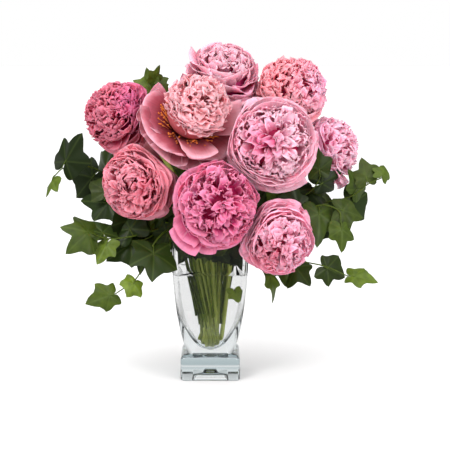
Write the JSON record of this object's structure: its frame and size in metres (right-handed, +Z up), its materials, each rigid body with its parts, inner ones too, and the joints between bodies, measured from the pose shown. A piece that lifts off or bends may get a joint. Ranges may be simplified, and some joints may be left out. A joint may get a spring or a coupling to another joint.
{
  "type": "peonies in a vase",
  "caption": "Cut double peonies in pinks with trailing lobed ivy, their stems standing in water in a square-footed flared vase of clear pressed glass.",
  "frame": {"origin": "centre of the underside of the vase's square foot, where it rests", "axes": "+Z up along the vase's axis; -Y towards the arrangement's front; +X to the right seen from the front; the foot's sides lie along X and Y"},
  "size_m": [0.4898, 0.3123, 0.4667],
  "materials": {
    "pressed_glass": "polished",
    "water": "polished",
    "petals_rose": "matte",
    "petals_pink": "matte",
    "petals_blush": "matte",
    "petals_mauve": "matte",
    "petals_salmon": "matte",
    "petals_light": "matte",
    "petals_vivid": "matte",
    "stamens": "matte",
    "stem_green": "satin",
    "ivy_green": "satin"
  },
  "bodies": {
    "root": {"bloom_back_left": "petals_pink", "bloom_back_right": "petals_rose", "bloom_far_left": "petals_rose", "bloom_low_centre": "petals_vivid", "bloom_low_left": "petals_pink", "bloom_low_right": "petals_light", "bloom_open_pale": "petals_blush", "bloom_right_edge": "petals_light", "bloom_right_large": "petals_light", "bloom_top": "petals_mauve", "bloom_top_right": "petals_salmon", "ivy_back_left": "ivy_green", "ivy_back_middle": "ivy_green", "ivy_back_right": "ivy_green", "ivy_left_high": "ivy_green", "ivy_left_low": "ivy_green", "ivy_left_mid": "ivy_green", "ivy_left_out": "ivy_green", "ivy_left_under": "ivy_green", "ivy_mouth_front": "ivy_green", "ivy_right_high": "ivy_green", "ivy_right_low": "ivy_green", "ivy_right_mid": "ivy_green", "ivy_right_top": "ivy_green", "ivy_right_vase": "ivy_green", "ivy_top_left": "ivy_green", "stamens": "stamens", "stem_back_left": "stem_green", "stem_back_right": "stem_green", "stem_far_left": "stem_green", "stem_low_centre": "stem_green", "stem_low_left": "stem_green", "stem_low_right": "stem_green", "stem_open_pale": "stem_green", "stem_right_edge": "stem_green", "stem_right_large": "stem_green", "stem_top": "stem_green", "stem_top_right": "stem_green", "vase": "pressed_glass", "water": "water"}
  },
  "joints": []
}
